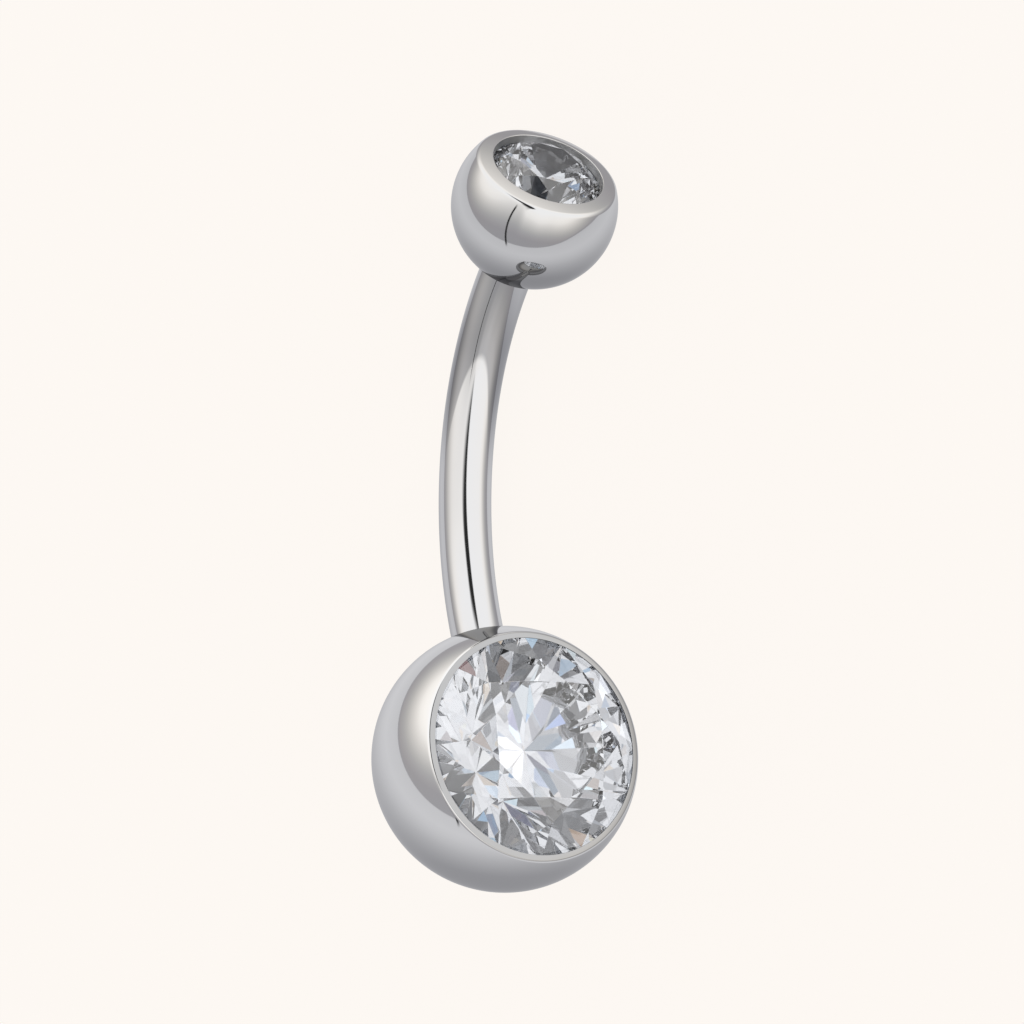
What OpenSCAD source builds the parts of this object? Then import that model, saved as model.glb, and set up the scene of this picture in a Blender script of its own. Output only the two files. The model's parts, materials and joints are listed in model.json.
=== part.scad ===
/* [Bar] */
// Diameter of the curved bar (1.6 is the common 14 gauge)
bar_d = 1.6; // [1.2:0.1:2]
// Straight distance between the bar's shoulders, just over the length the piercing sees
bar_span = 11.4; // [9:0.2:14]
// Radius of the bend on the bar's centre line
bend_r = 9.9; // [8.8:0.1:12]
// Width of the step at each end of the bar, which stops against the ball
shoulder_w = 0.2; // [0.1:0.05:0.3]
// Pitch of the thread on the bar's upper end
thread_pitch = 0.25; // [0.2:0.05:0.35]
// Depth of the thread's groove
thread_depth = 0.13; // [0.08:0.01:0.18]

/* [Large ball] */
// Diameter of the lower, fixed ball
large_ball_d = 8; // [7:0.1:11]
// Depth of the cap that is cut off it for its stone
large_cut = 2.065; // [1.4:0.005:2.5]
// Width of the polished rim round its stone
large_rim_w = 0.2; // [0.15:0.05:0.5]
// Rise of that rim from its outer to its inner edge
large_rim_rise = 0.055; // [0.02:0.005:0.2]
// Height of that rim's inner wall above the stone's edge
large_rim_depth = 0.04; // [0.02:0.01:0.3]
// Angle between the bar and the axis of its stone
large_stone_lean = 105.5; // [90:0.5:130]

/* [Small ball] */
// Diameter of the upper, screw-on ball
small_ball_d = 5; // [4.4:0.1:7]
// Depth of the cap that is cut off it for its stone
small_cut = 1.25; // [0.9:0.01:1.4]
// Width of the polished rim round its stone
small_rim_w = 0.445; // [0.2:0.005:0.6]
// Rise of that rim from its outer to its inner edge
small_rim_rise = 0.12; // [0.04:0.01:0.2]
// Height of that rim's inner wall above the stone's edge
small_rim_depth = 0.28; // [0.04:0.01:0.36]
// Lean of its stone from the line of the bar's end
small_stone_lean = 3.4; // [0:0.1:12]
// Turn of its stone about the stone's own axis
small_stone_turn = 22.5; // [0:0.5:45]

/* [Stone cut] */
// Table width, corner to corner, as a share of the girdle
table_share = 0.557; // [0.5:0.005:0.65]
// Slope of the crown's main facets
crown_angle = 37.5; // [30:0.5:42]
// Slope of the pavilion's main facets
pavilion_angle = 41; // [38:0.5:44]
// Girdle thickness as a share of the girdle's diameter
girdle_share = 0.015; // [0.005:0.001:0.03]
// Length of the lower girdle facets as a share of the pavilion
lower_share = 0.77; // [0.6:0.01:0.85]

/* [Fits] */
// How far each rim reaches over its stone
rim_cover = 0.1; // [0.08:0.01:0.15]
// Room between a stone and its seat
stone_gap = 0.02; // [0.01:0.005:0.05]
// Room between the bar's shoulders and the balls
seat_gap = 0.02; // [0.01:0.005:0.05]
// Room round the thread and round the lower end's peg
peg_gap = 0.03; // [0.02:0.005:0.06]
// Room past the tip of the thread and of the peg
tip_gap = 0.1; // [0.05:0.01:0.2]
// Metal left between a stone's seat and the hole for the bar
web = 0.3; // [0.2:0.05:0.5]

/* [Hidden] */
$fn = 96;

bar_r = bar_d / 2;
large_r = large_ball_d / 2;
small_r = small_ball_d / 2;
peg_r = bar_r - shoulder_w;

// A round brilliant repeats eight times round its axis, with a corner every half of that
FOLD_ANGLE = 360 / 8;
HALF_ANGLE = FOLD_ANGLE / 2;

// Heights of the cut above and below the girdle's top edge
function table_r(r) = r * table_share;
function star_r(r) = table_r(r) * (cos(HALF_ANGLE) + sin(HALF_ANGLE));
function table_z(r) = (r - table_r(r)) * tan(crown_angle);
function star_z(r) = (r - star_r(r) * cos(HALF_ANGLE)) * tan(crown_angle);
function crown_edge_slope(r) = star_z(r) / (r - star_r(r));
function girdle_t(r) = 2 * r * girdle_share;
function lower_r(r) = r * (1 - lower_share);
function lower_z(r) = (r - lower_r(r) * cos(HALF_ANGLE)) * tan(pavilion_angle);
function lower_slope(r) = lower_z(r) / (r - lower_r(r));
function culet_z(r) = r * tan(pavilion_angle);

// Rim and seat of a ball. The cut through the ball sets the rim's outer edge, the rim's
// width its opening, and the opening the stone. Heights run from the ball's centre along
// the stone's axis.
function rim_outer_r(ball_r, cut) = sqrt(pow(ball_r, 2) - pow(ball_r - cut, 2));
function rim_inner_r(stone_r) = stone_r - rim_cover;
function cover_rise(stone_r) = rim_cover * crown_edge_slope(stone_r) + stone_gap;
function seat_floor(stone_r) = girdle_t(stone_r) + stone_gap
    + (stone_r + stone_gap) * lower_slope(stone_r);

large_rim_z = large_r - large_cut;
large_stone_r = rim_outer_r(large_r, large_cut) - large_rim_w + rim_cover;
large_girdle_z = large_rim_z + large_rim_rise - large_rim_depth - cover_rise(large_stone_r);
small_rim_z = small_r - small_cut;
small_stone_r = rim_outer_r(small_r, small_cut) - small_rim_w + rim_cover;
small_girdle_z = small_rim_z + small_rim_rise - small_rim_depth - cover_rise(small_stone_r);

// Distance from a ball's centre to the flat that the bar's shoulder meets
large_flat = sqrt(pow(large_r, 2) - pow(bar_r, 2));
small_flat = sqrt(pow(small_r, 2) - pow(bar_r, 2));

// The ring's plane holds X towards the hollow side of the bend and Z along the bar's span.
// The bend's centre is the origin, and an angle is a lean from Z towards X.
half_bend = asin(bar_span / 2 / bend_r);
function along(lean) = [sin(lean), 0, cos(lean)];
function on_bend(lean) = bend_r * [-cos(lean), 0, sin(lean)];
large_c = on_bend(-half_bend) - (large_flat + seat_gap) * along(-half_bend);
small_c = on_bend(half_bend) + (small_flat + seat_gap) * along(half_bend);
large_lean = large_stone_lean - half_bend;
small_lean = half_bend - small_stone_lean;

// The small ball's hole stops short of the tip of its stone's seat
small_hole_end = web + seat_floor(small_stone_r) - small_girdle_z;
thread_l = small_flat - small_hole_end - tip_gap;

// The large ball's hole stops where its nearest corner is one web from the seat's cone
seat_angle = atan(lower_slope(large_stone_r));
corner_angle = large_stone_lean + seat_angle;
large_hole_end = (web + (peg_r + peg_gap) * sin(corner_angle)
    + (seat_floor(large_stone_r) - large_girdle_z) * cos(seat_angle)) / -cos(corner_angle);
peg_l = large_flat - large_hole_end - tip_gap;

// At rest the ring lies on both balls and on the back of its bar, or on the balls alone
// with the bar below them when the bar is too straight to reach the surface
function unit(v) = v / norm(v);
line = unit(small_c - large_c);
front = [line[2], 0, -line[0]];
rise = (small_r - large_r) / norm(small_c - large_c);
centre_front = -large_c * front;
reach_down = rise * (-large_c * line) + large_r - bar_r;
turn_a = pow(centre_front, 2) - pow(bend_r, 2);
turn_b = reach_down * centre_front;
turn_c = pow(reach_down, 2) - pow(bend_r * rise, 2);
turn_root = sqrt(max(0, pow(turn_b, 2) - turn_a * turn_c));
free_turn = sqrt(1 - pow(rise, 2));
turn = min(free_turn, max((-turn_b + turn_root) / turn_a, (-turn_b - turn_root) / turn_a));
up = rise * line + turn * front - sqrt(max(0, 1 - pow(rise, 2) - pow(turn, 2))) * [0, 1, 0];
long = unit(line - (line * up) * up);
side = cross(up, long);

// How far a ball cut off at its rim reaches in one direction from its centre
function ball_reach(toward, lean, ball_r, cut_z) =
    let (c = toward * along(lean))
    c * ball_r <= cut_z ? ball_r : cut_z * c + sqrt(pow(ball_r, 2) - pow(cut_z, 2)) * sqrt(1 - pow(c, 2));
function large_reach(toward) = ball_reach(toward, large_lean, large_r, large_rim_z);
function small_reach(toward) = ball_reach(toward, small_lean, small_r, small_rim_z);
function bar_reach(toward) = bar_r
    + max([for (lean = [-half_bend:half_bend / 8:half_bend]) (on_bend(lean) - large_c) * toward]);
length_ahead = norm(small_c - large_c) * (line * long) + small_reach(long);
middle_x = (length_ahead - large_reach(-long)) / 2;
side_most = max(large_reach(side), small_reach(side), bar_reach(side));
side_least = max(large_reach(-side), small_reach(-side), bar_reach(-side));
middle_y = (side_most - side_least) / 2;
rest_shift = [-large_c * long - middle_x, -large_c * side - middle_y, -large_c * up + large_r];

// Stands the ring as it rests, with its box centred over the origin
module at_rest() {
    multmatrix([
        [long[0], long[1], long[2], rest_shift[0]],
        [side[0], side[1], side[2], rest_shift[1]],
        [up[0], up[1], up[2], rest_shift[2]],
        [0, 0, 0, 1]
    ])
    children();
}

// Puts a shape made along +Z at a point of the ring's plane, leaning from Z towards X
module lean_at(point, lean) {
    translate(point) rotate([0, lean, 0]) children();
}

// One ridge of the thread: how far along the pitch, and what share of the depth it stands
RIDGE = [[0.05, 0], [0.42, 1], [0.58, 1], [0.95, 0]];

// Annular ridges of the thread, from the shoulder to a tapered tip
module thread() {
    groove_r = peg_r - thread_depth;
    ridges = floor((thread_l - thread_depth) / thread_pitch);
    first = (thread_l - thread_depth - ridges * thread_pitch) / 2;
    ridged = [for (i = [0:ridges - 1], row = RIDGE)
        [groove_r + row[1] * thread_depth, first + (i + row[0]) * thread_pitch]];
    tip = [[groove_r, thread_l - thread_depth], [groove_r - thread_depth, thread_l], [0, thread_l]];
    rotate_extrude()
        polygon(concat([[0, -bar_r], [groove_r, -bar_r]], ridged, tip));
}

// Curved bar with its lower peg and its threaded upper end
module bar() {
    color([0.72, 0.72, 0.74])
    at_rest() {
        rotate([90, 0, 0])
            rotate([0, 0, 180 - half_bend])
            rotate_extrude(angle = 2 * half_bend)
            translate([bend_r, 0])
            circle(r = bar_r);
        lean_at(large_c, -half_bend) translate([0, 0, large_flat - peg_l])
            cylinder(r = peg_r, h = peg_l + bar_r);
        lean_at(small_c, half_bend) translate([0, 0, -small_flat]) thread();
    }
}

// Space cut in a ball along its stone's axis: the seat, the rim's opening above it, and all
// that lies past the rim's slope. The slope runs on past the ball's surface.
module stone_cut(ball_r, stone_r, rim_w, cut_z, rim_rise, girdle_z) {
    seat_r = stone_r + stone_gap;
    opening_r = rim_inner_r(stone_r);
    floor_z = girdle_z - girdle_t(stone_r) - stone_gap;
    rotate_extrude() polygon([
        [0, floor_z - seat_r * lower_slope(stone_r)],
        [seat_r, floor_z],
        [seat_r, girdle_z],
        [opening_r, girdle_z + cover_rise(stone_r)],
        [opening_r, cut_z + rim_rise],
        [opening_r + 2 * rim_w, cut_z - rim_rise],
        [2 * ball_r, cut_z - rim_rise],
        [2 * ball_r, 2 * ball_r],
        [0, 2 * ball_r]
    ]);
}

// Ball cut off at a sloping rim, with the seat for its stone, the stone's axis along +Z
module set_ball(ball_r, stone_r, rim_w, cut_z, rim_rise, girdle_z) {
    difference() {
        sphere(r = ball_r);
        stone_cut(ball_r, stone_r, rim_w, cut_z, rim_rise, girdle_z);
    }
}

// Flat and blind hole where an end of the bar enters a ball, along +Z from the ball's centre
module bar_socket(ball_r, flat_z, hole_end) {
    translate([0, 0, flat_z]) cylinder(r = ball_r, h = ball_r);
    translate([0, 0, hole_end]) cylinder(r = peg_r + peg_gap, h = ball_r);
}

// Round brilliant: table, eight stars, eight kites, sixteen upper girdle facets, girdle,
// sixteen lower girdle facets and eight mains that meet in a point
module brilliant(r) {
    tables = 0;
    stars = 8;
    tops = 16;
    bottoms = 32;
    lowers = 48;
    culet = 56;
    function ring_point(radius, angle, z) = [radius * cos(angle), radius * sin(angle), z];
    points = concat(
        [for (i = [0:7]) ring_point(table_r(r), FOLD_ANGLE * i + HALF_ANGLE, table_z(r))],
        [for (i = [0:7]) ring_point(star_r(r), FOLD_ANGLE * i, star_z(r))],
        [for (j = [0:15]) ring_point(r, HALF_ANGLE * j, 0)],
        [for (j = [0:15]) ring_point(r, HALF_ANGLE * j, -girdle_t(r))],
        [for (i = [0:7]) ring_point(lower_r(r), FOLD_ANGLE * i, -girdle_t(r) - lower_z(r))],
        [[0, 0, -girdle_t(r) - culet_z(r)]]
    );
    faces = concat(
        [[for (i = [7:-1:0]) tables + i]],
        [for (i = [0:7]) let (before = (i + 7) % 8, left = (2 * i + 15) % 16) each [
            [stars + i, tables + before, tables + i],
            [tops + 2 * i + 1, stars + i, tables + i, stars + (i + 1) % 8],
            [tops + 2 * i, stars + i, tops + 2 * i + 1],
            [stars + i, tops + 2 * i, tops + left],
            [bottoms + 2 * i, bottoms + 2 * i + 1, lowers + i],
            [bottoms + left, bottoms + 2 * i, lowers + i],
            [lowers + i, bottoms + 2 * i + 1, lowers + (i + 1) % 8, culet]
        ]],
        [for (j = [0:15]) let (next = (j + 1) % 16)
            [tops + j, tops + next, bottoms + next, bottoms + j]]
    );
    polyhedron(points = points, faces = faces, convexity = 2);
}

// Lower ball, which holds the large stone and the bar's peg
module large_ball() {
    color([0.75, 0.75, 0.77])
    at_rest()
    difference() {
        lean_at(large_c, large_lean)
            set_ball(large_r, large_stone_r, large_rim_w, large_rim_z, large_rim_rise, large_girdle_z);
        lean_at(large_c, -half_bend) bar_socket(large_r, large_flat, large_hole_end);
    }
}

// Large clear stone
module large_stone() {
    color([0.86, 0.9, 0.95, 0.6])
    at_rest()
    lean_at(large_c, large_lean) translate([0, 0, large_girdle_z]) brilliant(large_stone_r);
}

// Upper ball, which holds the small stone and screws onto the bar
module small_ball() {
    color([0.75, 0.75, 0.77])
    at_rest()
    difference() {
        lean_at(small_c, small_lean)
            set_ball(small_r, small_stone_r, small_rim_w, small_rim_z, small_rim_rise, small_girdle_z);
        lean_at(small_c, half_bend + 180) bar_socket(small_r, small_flat, small_hole_end);
    }
}

// Small clear stone
module small_stone() {
    color([0.86, 0.9, 0.95, 0.6])
    at_rest()
    lean_at(small_c, small_lean) translate([0, 0, small_girdle_z])
        rotate([0, 0, small_stone_turn]) brilliant(small_stone_r);
}

bar();
large_ball();
large_stone();
small_ball();
small_stone();
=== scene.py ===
"""Looks of a navel ring: a curved steel bar with a set ball at each end.

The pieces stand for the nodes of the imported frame. They are modelled in the plane of the ring, in
millimetres, with X towards the hollow side of the bar, Z along it and the centre of its bend as
the origin. They are moved to the frame's metres as each mesh is finished.
"""

import json
import logging
import math
from collections.abc import Iterable, Sequence
from dataclasses import dataclass
from enum import Enum

import bmesh
import bpy
from mathutils import Matrix, Vector

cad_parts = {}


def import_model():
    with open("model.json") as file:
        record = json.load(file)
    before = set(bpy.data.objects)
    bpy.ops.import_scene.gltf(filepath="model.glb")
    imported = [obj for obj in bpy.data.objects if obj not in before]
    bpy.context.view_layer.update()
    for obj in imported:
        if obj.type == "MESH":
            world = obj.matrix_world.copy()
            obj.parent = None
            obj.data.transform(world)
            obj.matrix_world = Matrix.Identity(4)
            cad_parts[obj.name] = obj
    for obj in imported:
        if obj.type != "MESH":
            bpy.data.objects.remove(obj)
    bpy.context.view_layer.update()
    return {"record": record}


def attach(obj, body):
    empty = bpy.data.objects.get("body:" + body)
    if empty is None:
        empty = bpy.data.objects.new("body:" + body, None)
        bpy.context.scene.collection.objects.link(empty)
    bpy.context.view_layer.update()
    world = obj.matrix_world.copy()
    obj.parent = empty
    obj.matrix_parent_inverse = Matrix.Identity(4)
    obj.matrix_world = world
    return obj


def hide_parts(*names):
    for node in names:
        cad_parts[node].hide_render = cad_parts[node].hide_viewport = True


MM = 0.001
# Distance in millimetres at which corners merge, and slack of a corner that lies on a circle
MERGE = 1e-4
NEAR = 1e-3
# Turn between two faces from which the edge between them is sharp
SHARP = math.radians(32)
UP = Vector((0, 0, 1))
LATERAL = Vector((0, 1, 0))

log = logging.getLogger("navel_ring")

Colour = tuple[float, float, float]
Direction = tuple[float, float, float]
Triple = tuple[float, float, float]
ProfilePoint = tuple[float, float]


class Body(Enum):
    """CAD bodies that the pieces ride on."""

    BARBELL = "barbell"
    TOP_BALL = "top_ball"


class End(Enum):
    """Ends of the bar, as the sign of their Z in the ring's plane."""

    LOWER = -1
    UPPER = 1


class Slot(Enum):
    """Material slots of the record."""

    BAR_STEEL = "bar_steel"
    BALL_STEEL = "ball_steel"
    CLEAR_STONE = "clear_stone"


class Surface(Enum):
    """Order of the finishes on a steel piece, as material indices of its faces."""

    OUTSIDE = 0
    RIM = 1
    INSIDE = 2
    WALL = 3


# Meshes


def turned(lean: float, point: Vector) -> Matrix:
    """Stands a shape made along +Z at a point of the ring's plane.

    Args:
        lean: Angle from the plane's Z towards its X, in radians.
        point: Where the shape's origin goes, in millimetres.

    Returns:
        The shape's placement in the ring's plane.
    """
    return Matrix.Translation(point) @ Matrix.Rotation(lean, 4, LATERAL)


def run_out(
    bm: bmesh.types.BMesh,
    edges: list[bmesh.types.BMEdge],
    steps: Sequence[ProfilePoint],
    place: Matrix,
    surface: Surface,
) -> list[bmesh.types.BMEdge]:
    """Draws a ring of edges out through a row of radii and heights about an axis.

    Args:
        bm: The mesh being built.
        edges: A closed ring of edges round the axis.
        steps: Radius and height of each further ring.
        place: Placement whose Z is the axis, and whose origin is height zero.
        surface: Finish of the new faces.

    Returns:
        The last ring of edges.
    """
    into = place.inverted()
    for radius, height in steps:
        made = bmesh.ops.extrude_edge_only(bm, edges=edges)["geom"]
        verts = [g for g in made if isinstance(g, bmesh.types.BMVert)]
        edges = [g for g in made if isinstance(g, bmesh.types.BMEdge)]
        edges = [e for e in edges if all(v in verts for v in e.verts)]
        for face in {f for v in verts for f in v.link_faces}:
            face.material_index = surface.value
        first = into @ verts[0].co
        reach = math.hypot(first.x, first.y)
        bmesh.ops.scale(bm, vec=(radius / reach, radius / reach, 1), space=into, verts=verts)
        rise = place.to_3x3() @ Vector((0, 0, height - first.z))
        bmesh.ops.translate(bm, vec=rise, verts=verts)
    return edges


def capped(bm: bmesh.types.BMesh, edges: list[bmesh.types.BMEdge], surface: Surface) -> None:
    """Closes a ring of edges with one face."""
    for face in bmesh.ops.edgeloop_fill(bm, edges=edges)["faces"]:
        face.material_index = surface.value


def on_ring(edge: bmesh.types.BMEdge, radius: float, height: float) -> bool:
    """Tells whether an edge lies on the circle of a radius and height about Z."""
    return all(
        abs(math.hypot(v.co.x, v.co.y) - radius) < NEAR and abs(v.co.z - height) < NEAR
        for v in edge.verts
    )


def closed(bm: bmesh.types.BMesh) -> None:
    """Merges doubles and turns every face outwards."""
    bmesh.ops.remove_doubles(bm, verts=bm.verts, dist=MERGE)
    bmesh.ops.dissolve_degenerate(bm, edges=bm.edges, dist=MERGE / 10)
    bmesh.ops.recalc_face_normals(bm, faces=bm.faces)


def shade(bm: bmesh.types.BMesh) -> None:
    """Shades faces smoothly between the sharp edges."""
    for face in bm.faces:
        face.smooth = True
    for edge in bm.edges:
        edge.smooth = not (len(edge.link_faces) == 2 and edge.calc_face_angle(0) > SHARP)


# Shader nodes


@dataclass
class Sheet:
    """A node tree that nodes are added to and joined on."""

    tree: bpy.types.NodeTree

    def add(self, kind: str, **settings: object) -> bpy.types.Node:
        """Adds a node and sets its properties.

        Args:
            kind: Type name of the node, after "ShaderNode".
            **settings: Its properties by name.

        Returns:
            The new node.
        """
        node = self.tree.nodes.new("ShaderNode" + kind)
        for name, value in settings.items():
            setattr(node, name, value)
        return node

    def put(self, socket: bpy.types.NodeSocket, value: object) -> None:
        """Joins a socket to another, or sets its value."""
        if isinstance(value, bpy.types.NodeSocket):
            self.tree.links.new(value, socket)
        else:
            socket.default_value = value

    def math(self, operation: str, *values: object) -> bpy.types.NodeSocket:
        """Adds a Math node.

        Args:
            operation: The node's operation.
            *values: Numbers or sockets for its inputs, in order.

        Returns:
            Its result.
        """
        node = self.add("Math", operation=operation)
        for socket, value in zip(node.inputs, values):
            self.put(socket, value)
        return node.outputs[0]

    def vector(self, operation: str, *values: object) -> bpy.types.NodeSocket:
        """Adds a Vector Math node that gives a vector.

        Args:
            operation: The node's operation.
            *values: Vectors or sockets for its inputs, in order.

        Returns:
            Its result.
        """
        node = self.add("VectorMath", operation=operation)
        for socket, value in zip(node.inputs, values):
            self.put(socket, value)
        return node.outputs["Vector"]

    def dot(self, direction: bpy.types.NodeSocket, axis: Sequence[float]) -> bpy.types.NodeSocket:
        """Measures how far a direction points along an axis."""
        node = self.add("VectorMath", operation="DOT_PRODUCT")
        self.put(node.inputs[0], direction)
        node.inputs[1].default_value = axis
        return node.outputs["Value"]

    def smooth(self, value: bpy.types.NodeSocket, low: float, high: float, start: float = 0.0,
               end: float = 1.0) -> bpy.types.NodeSocket:
        """Eases a value between two results as it runs between two limits.

        Args:
            value: Socket to read.
            low: Limit at which the result starts to change.
            high: Limit at which it stops.
            start: Result below the first limit.
            end: Result above the second.

        Returns:
            The eased result.
        """
        node = self.add("MapRange", interpolation_type="SMOOTHSTEP")
        for name, given in (("Value", value), ("From Min", low), ("From Max", high),
                            ("To Min", start), ("To Max", end)):
            self.put(node.inputs[name], given)
        return node.outputs["Result"]

    def mix(self, share: object, first: object, second: object,
            blend: str = "MIX") -> bpy.types.NodeSocket:
        """Mixes two colours.

        Args:
            share: Share of the second colour.
            first: Colour or socket.
            second: Colour or socket.
            blend: How the second is laid over the first.

        Returns:
            The mixed colour.
        """
        node = self.add("Mix", data_type="RGBA", blend_type=blend)
        for socket, value in ((node.inputs[0], share), (node.inputs[6], first),
                              (node.inputs[7], second)):
            self.put(socket, (*value, 1.0) if isinstance(value, tuple) else value)
        return node.outputs[2]

    def noise(self, place: bpy.types.NodeSocket, scale: float, detail: float = 2.0,
              roughness: float = 0.5) -> bpy.types.NodeSocket:
        """Adds a Noise texture.

        Args:
            place: Where it is read.
            scale: Its features to a unit of that place.
            detail: How many finer layers it has.
            roughness: How much each finer layer shows.

        Returns:
            Its value.
        """
        node = self.add("TexNoise")
        for name, value in (("Vector", place), ("Scale", scale), ("Detail", detail),
                            ("Roughness", roughness)):
            self.put(node.inputs[name], value)
        return node.outputs["Fac"]

    def place(self) -> bpy.types.NodeSocket:
        """Reads a place on the piece, in millimetres."""
        node = self.add("Mapping")
        self.put(node.inputs["Vector"], self.add("TexCoord").outputs["Object"])
        node.inputs["Scale"].default_value = (1 / MM, 1 / MM, 1 / MM)
        return node.outputs["Vector"]

    def group(self, tree: bpy.types.NodeTree, **values: object) -> bpy.types.Node:
        """Places a node group, with its inputs by name (spaces written as underscores)."""
        node = self.add("Group", node_tree=tree)
        for name, value in values.items():
            self.put(node.inputs[name.replace("_", " ")], value)
        return node


def new_group(name: str, inputs: Sequence[tuple[str, str, object]],
              outputs: Sequence[tuple[str, str]]) -> tuple[Sheet, bpy.types.Node, bpy.types.Node]:
    """Starts a shader node group.

    Args:
        name: The group's name.
        inputs: Name, socket type and default value of each input.
        outputs: Name and socket type of each output.

    Returns:
        Its sheet, its input node and its output node.
    """
    tree = bpy.data.node_groups.new(name, "ShaderNodeTree")
    for label, kind, value in inputs:
        socket = tree.interface.new_socket(label, in_out="INPUT", socket_type="NodeSocket" + kind)
        if value is not None:
            socket.default_value = value
    for label, kind in outputs:
        tree.interface.new_socket(label, in_out="OUTPUT", socket_type="NodeSocket" + kind)
    return Sheet(tree), tree.nodes.new("NodeGroupInput"), tree.nodes.new("NodeGroupOutput")


def new_material(name: str) -> tuple[bpy.types.Material, Sheet, bpy.types.Node]:
    """Starts a material.

    Args:
        name: The material's name.

    Returns:
        The material, its sheet and its shader.
    """
    made = bpy.data.materials.new(name)
    made.use_nodes = True
    return made, Sheet(made.node_tree), made.node_tree.nodes["Principled BSDF"]


@dataclass(frozen=True)
class PolishMarks:
    """Fine marks that a polishing wheel leaves, and soft patches of more and less shine."""

    patch_scale: float = 1.7
    patch_detail: float = 3.0
    line_turn: Triple = (0.5, 0.35, 0.9)
    line_stretch: Triple = (1.0, 0.035, 0.035)
    line_scale: float = 1.3
    line_detail: float = 4.0
    line_roughness: float = 0.65
    streak_limits: tuple[float, float] = (0.62, 0.78)
    streak_share: float = 0.6

    def group(self) -> bpy.types.NodeTree:
        """Builds the node group.

        Returns:
            A group that reads a place in millimetres and gives a roughness and a height.
        """
        sheet, ins, outs = new_group(
            "polish_marks",
            [("Place", "Vector", None), ("Roughness", "Float", 0.05), ("Spread", "Float", 0.02),
             ("Lines", "Float", 1.0)],
            [("Roughness", "Float"), ("Height", "Float")],
        )
        patches = sheet.noise(ins.outputs["Place"], self.patch_scale, self.patch_detail)
        drawn = sheet.add("Mapping", vector_type="TEXTURE")
        sheet.put(drawn.inputs["Vector"], ins.outputs["Place"])
        drawn.inputs["Rotation"].default_value = self.line_turn
        drawn.inputs["Scale"].default_value = self.line_stretch
        lines = sheet.noise(drawn.outputs["Vector"], self.line_scale, self.line_detail,
                            self.line_roughness)
        uneven = sheet.math("SUBTRACT", patches, 0.5)
        worn = sheet.math("MULTIPLY_ADD", uneven, ins.outputs["Spread"], ins.outputs["Roughness"])
        streak = sheet.math("MULTIPLY", sheet.smooth(lines, *self.streak_limits),
                            ins.outputs["Spread"])
        sheet.put(outs.inputs["Roughness"],
                  sheet.math("MULTIPLY_ADD", streak, self.streak_share, worn))
        sheet.put(outs.inputs["Height"], sheet.math("MULTIPLY", lines, ins.outputs["Lines"]))
        return sheet.tree


@dataclass(frozen=True)
class UpperEnd:
    """Reflections of a bent rod's upper end, which faces the small ball.

    The normals lean towards that end, more and more past the rod's middle, and above a pointed
    arch on the rod's upper side the base colour is painted dark: a painted reflection of the small
    ball's dark underside. A rise is the sine of the angle along the bend from its middle, and a
    facing is how far a normal points to the rod's upper side.
    """

    lean: float = 0.245
    lean_rises: tuple[float, float] = (-0.3, 0.25)
    upper_side: Direction = (0.0, -0.37, 0.93)
    least_facing: float = 0.55
    arch_slope: float = -0.9
    arch_edge: tuple[float, float] = (-0.6, -0.56)
    painted_reflection_rises: tuple[float, float] = (0.3, 0.55)
    painted_reflection_strengths: tuple[float, float] = (0.52, 0.2)
    side_fade: tuple[float, float] = (-0.2, 0.45)
    foot_fade: tuple[float, float] = (-0.1, 0.2)

    def group(self, centre: Vector, along: Vector, front: Vector,
              reach: float) -> bpy.types.NodeTree:
        """Builds the node group.

        Args:
            centre: Centre of the bend, in millimetres.
            along: Direction of the rod at the middle of its bend.
            front: Direction from there towards the centre.
            reach: Radius of the bend.

        Returns:
            A group that reads a place in millimetres and gives the normal and the share of
            painted dark reflection there.
        """
        sheet, ins, outs = new_group("upper_end", [("Place", "Vector", None)],
                                     [("Normal", "Vector"), ("PaintedReflection", "Float")])
        arm = sheet.vector("SUBTRACT", ins.outputs["Place"], centre)
        way = sheet.vector("NORMALIZE", sheet.vector("CROSS_PRODUCT", along.cross(front), arm))
        rise = sheet.math("MULTIPLY", sheet.dot(arm, along), 1 / reach)
        normal = sheet.add("NewGeometry").outputs["Normal"]
        lean = sheet.smooth(rise, *self.lean_rises, 0.0, self.lean)
        leant = sheet.vector("MULTIPLY_ADD", way, lean, normal)
        sheet.put(outs.inputs["Normal"], sheet.vector("NORMALIZE", leant))
        facing = sheet.dot(normal, self.upper_side)
        arch = sheet.math("MULTIPLY_ADD", sheet.math("MAXIMUM", facing, self.least_facing),
                          self.arch_slope, rise)
        # Painted reflection: the small ball's dark underside, painted on above the arch
        painted_reflection = sheet.math("MULTIPLY", sheet.smooth(arch, *self.arch_edge),
                          sheet.smooth(rise, *self.painted_reflection_rises, *self.painted_reflection_strengths))
        ends = sheet.math("MULTIPLY", sheet.smooth(facing, *self.side_fade),
                          sheet.smooth(rise, *self.foot_fade))
        sheet.put(outs.inputs["PaintedReflection"], sheet.math("MULTIPLY", painted_reflection, ends))
        return sheet.tree


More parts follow.
